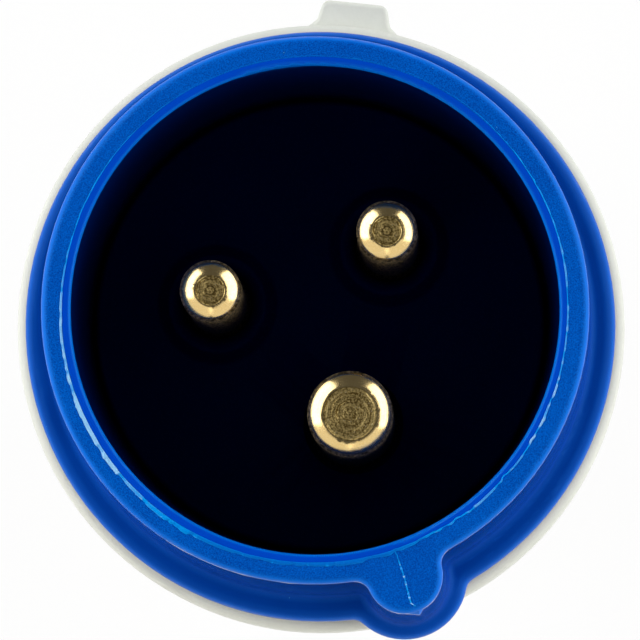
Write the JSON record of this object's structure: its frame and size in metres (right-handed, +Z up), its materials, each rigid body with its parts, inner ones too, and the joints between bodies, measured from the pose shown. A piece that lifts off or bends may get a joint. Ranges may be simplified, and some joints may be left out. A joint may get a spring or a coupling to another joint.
{
  "type": "industrial plug",
  "caption": "Round pin-and-sleeve power plug with a keyed shroud round its brass pins, and a cable gland behind.",
  "frame": {"origin": "on the plug's axis in the flat end face of the gland nut, which the plug stands on", "axes": "+Z up the axis to the mouth of the shroud, -Y towards the key and the earth pin, +X to the right for someone who looks into the mouth"},
  "size_m": [0.0514, 0.0537, 0.1278],
  "materials": {
    "shroud_blue": "moulded, fine matte grain",
    "carrier_blue": "moulded, matte",
    "insulator_grey": "moulded, matte",
    "housing_grey": "moulded, satin",
    "gland_white": "moulded, satin",
    "seal_rubber": "matte",
    "pin_brass": "turned",
    "screw_steel": "bright zinc plate",
    "leaf_steel": "bright spring strip"
  },
  "bodies": {
    "root": {"front_shroud": "shroud_blue", "pin_carrier": "carrier_blue", "pin_retainer": "insulator_grey", "housing_seal": "seal_rubber", "rear_housing": "housing_grey", "gland_bush": "seal_rubber", "gland_slip_ring": "gland_white", "gland_collet": "gland_white", "gland_nut": "housing_grey", "line_pin": "pin_brass", "line_terminal_screw": "screw_steel", "line_wire_leaf": "leaf_steel", "neutral_pin": "pin_brass", "neutral_terminal_screw": "screw_steel", "neutral_wire_leaf": "leaf_steel", "earth_pin": "pin_brass", "earth_terminal_screw": "screw_steel", "earth_wire_leaf": "leaf_steel", "retainer_screw_top": "screw_steel", "retainer_screw_left": "screw_steel", "retainer_screw_right": "screw_steel"}
  },
  "joints": []
}
